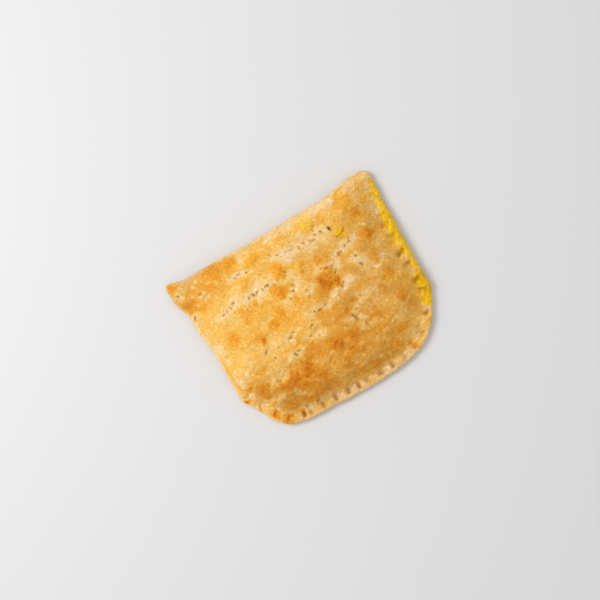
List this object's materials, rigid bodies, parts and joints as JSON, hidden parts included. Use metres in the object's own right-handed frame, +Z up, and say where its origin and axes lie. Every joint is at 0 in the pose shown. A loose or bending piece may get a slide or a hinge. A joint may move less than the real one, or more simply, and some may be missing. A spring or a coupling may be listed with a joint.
{
  "type": "jamaican patty",
  "caption": "Baked savoury turnover of yellow flaky pastry, folded along its back edge, fork-crimped round its open edges, with a low domed top and a flat underside.",
  "frame": {"origin": "under the middle of the patty's box, on the surface that it rests on", "axes": "+X along the fold, +Y toward the fold, +Z up"},
  "size_m": [0.1284, 0.106, 0.0182],
  "materials": {
    "crust": "baked yellow flaky pastry, matt, golden to light brown with pale flecks"
  },
  "bodies": {
    "root": {"patty": "crust"}
  },
  "joints": []
}
